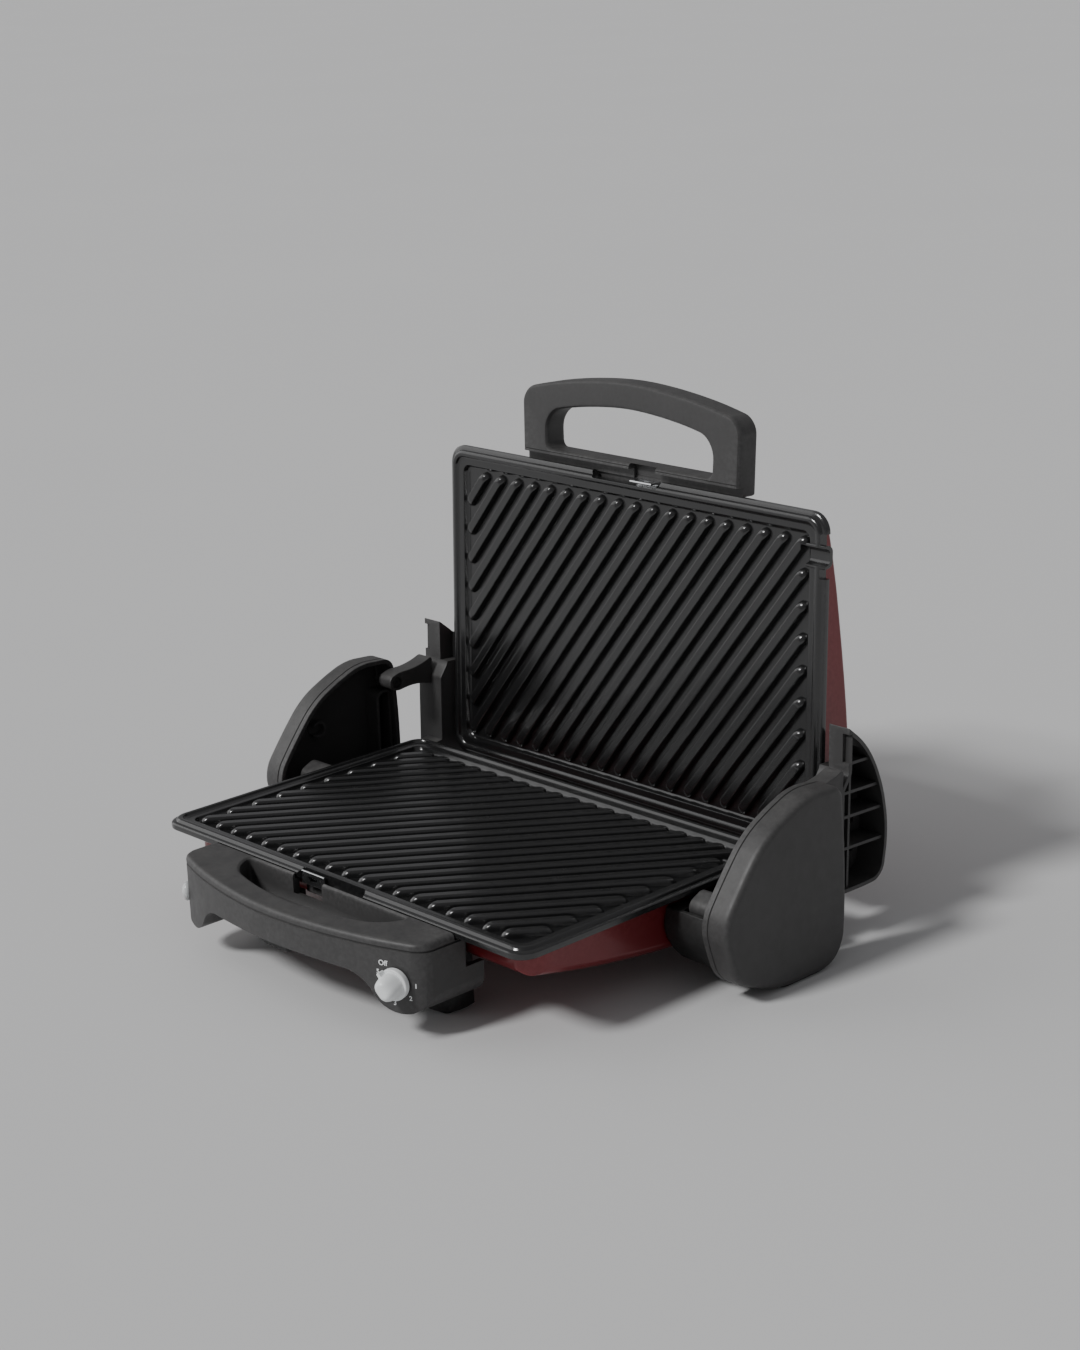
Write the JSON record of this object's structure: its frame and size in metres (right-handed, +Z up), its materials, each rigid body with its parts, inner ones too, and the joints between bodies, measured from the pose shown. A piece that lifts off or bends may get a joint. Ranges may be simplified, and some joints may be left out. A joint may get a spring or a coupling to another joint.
{
  "type": "panini press",
  "caption": "Electric contact grill standing open: two ribbed cooking plates, a red lid on side arms in round pods, loop handle and a heat dial on the front handle.",
  "frame": {"origin": "on the worktop under the middle of the object's box", "axes": "+X to the right seen from the front, +Y to the back, +Z up"},
  "size_m": [0.402, 0.3192, 0.303],
  "materials": {
    "red_enamel": "deep red satin enamel on pressed sheet",
    "nonstick_coating": "dark satin nonstick coating on cast aluminium",
    "black_plastic": "charcoal satin moulded plastic",
    "dark_plastic": "black matte moulded plastic",
    "rubber_feet": "black rubber",
    "white_plastic": "off-white gloss plastic",
    "ceramic_white": "off-white moulded terminal block",
    "lamp_lens": "clear frosted lens",
    "latch_spring_steel": "bright spring steel",
    "brass_bush": "plain brass",
    "plated_steel": "zinc-plated steel"
  },
  "bodies": {
    "base": {"base_shell": "red_enamel", "lower_reflector": "plated_steel", "lower_plate": "nonstick_coating", "lower_heating_element": "plated_steel", "front_handle": "black_plastic", "thermostat": "dark_plastic", "indicator_lamp": "dark_plastic", "indicator_lens": "lamp_lens", "terminal_block": "ceramic_white", "thermal_fuse": "plated_steel", "cord_gland": "dark_plastic", "pod_right": "black_plastic", "bracket_right": "dark_plastic", "lid_rest_right": "black_plastic", "hinge_bush_right": "brass_bush", "front_foot_right": "dark_plastic", "front_pad_right": "rubber_feet", "rear_pad_right": "rubber_feet", "bracket_screw_right_1": "plated_steel", "bracket_screw_right_2": "plated_steel", "pod_screw_right_1": "plated_steel", "pod_screw_right_2": "plated_steel", "pod_left": "black_plastic", "bracket_left": "dark_plastic", "lid_rest_left": "black_plastic", "hinge_bush_left": "brass_bush", "front_foot_left": "dark_plastic", "front_pad_left": "rubber_feet", "rear_pad_left": "rubber_feet", "bracket_screw_left_1": "plated_steel", "bracket_screw_left_2": "plated_steel", "pod_screw_left_1": "plated_steel", "pod_screw_left_2": "plated_steel"},
    "knob": {"thermostat_knob": "white_plastic", "thermostat_shaft": "plated_steel"},
    "lower_latch": {"lower_latch": "latch_spring_steel"},
    "lock_slider": {"lock_slider": "dark_plastic"},
    "arms": {"lid_arm_right": "black_plastic", "guide_pin_right": "dark_plastic", "lid_arm_left": "black_plastic", "guide_pin_left": "dark_plastic", "hinge_shaft": "plated_steel"},
    "lid": {"float_stud_right_1": "plated_steel", "float_stud_right_2": "plated_steel", "float_stud_left_1": "plated_steel", "float_stud_left_2": "plated_steel", "lid_shell": "red_enamel", "lid_handle": "black_plastic", "upper_plate": "nonstick_coating", "upper_heating_element": "plated_steel", "upper_reflector": "plated_steel"},
    "upper_latch": {"upper_latch": "latch_spring_steel"}
  },
  "joints": [
    {"name": "lid_hinge", "type": "hinge", "parent": "base", "child": "arms", "pos_m": [0, 0.09572, 0.0384], "axis": [1, 0, 0], "range_deg": [0, 92.6]},
    {"name": "lid_float", "type": "slide", "parent": "arms", "child": "lid", "axis": [0, 0.999, -0.0454], "range_m": [0, 0.01]},
    {"name": "thermostat_turn", "type": "hinge", "parent": "base", "child": "knob", "pos_m": [0.09, -0.14398, 0.0335], "axis": [-0.2924, 0.9563, 0], "range_deg": [0, 329]},
    {"name": "lower_latch_press", "type": "slide", "parent": "base", "child": "lower_latch", "axis": [0, -1, 0], "range_m": [0, 0.003], "stiffness_N_per_m": 600},
    {"name": "upper_latch_press", "type": "slide", "parent": "lid", "child": "upper_latch", "axis": [0, 0.0454, 0.999], "range_m": [0, 0.003], "stiffness_N_per_m": 600},
    {"name": "lock_slide", "type": "slide", "parent": "base", "child": "lock_slider", "axis": [1, 0, 0], "range_m": [0, 0.01]}
  ]
}
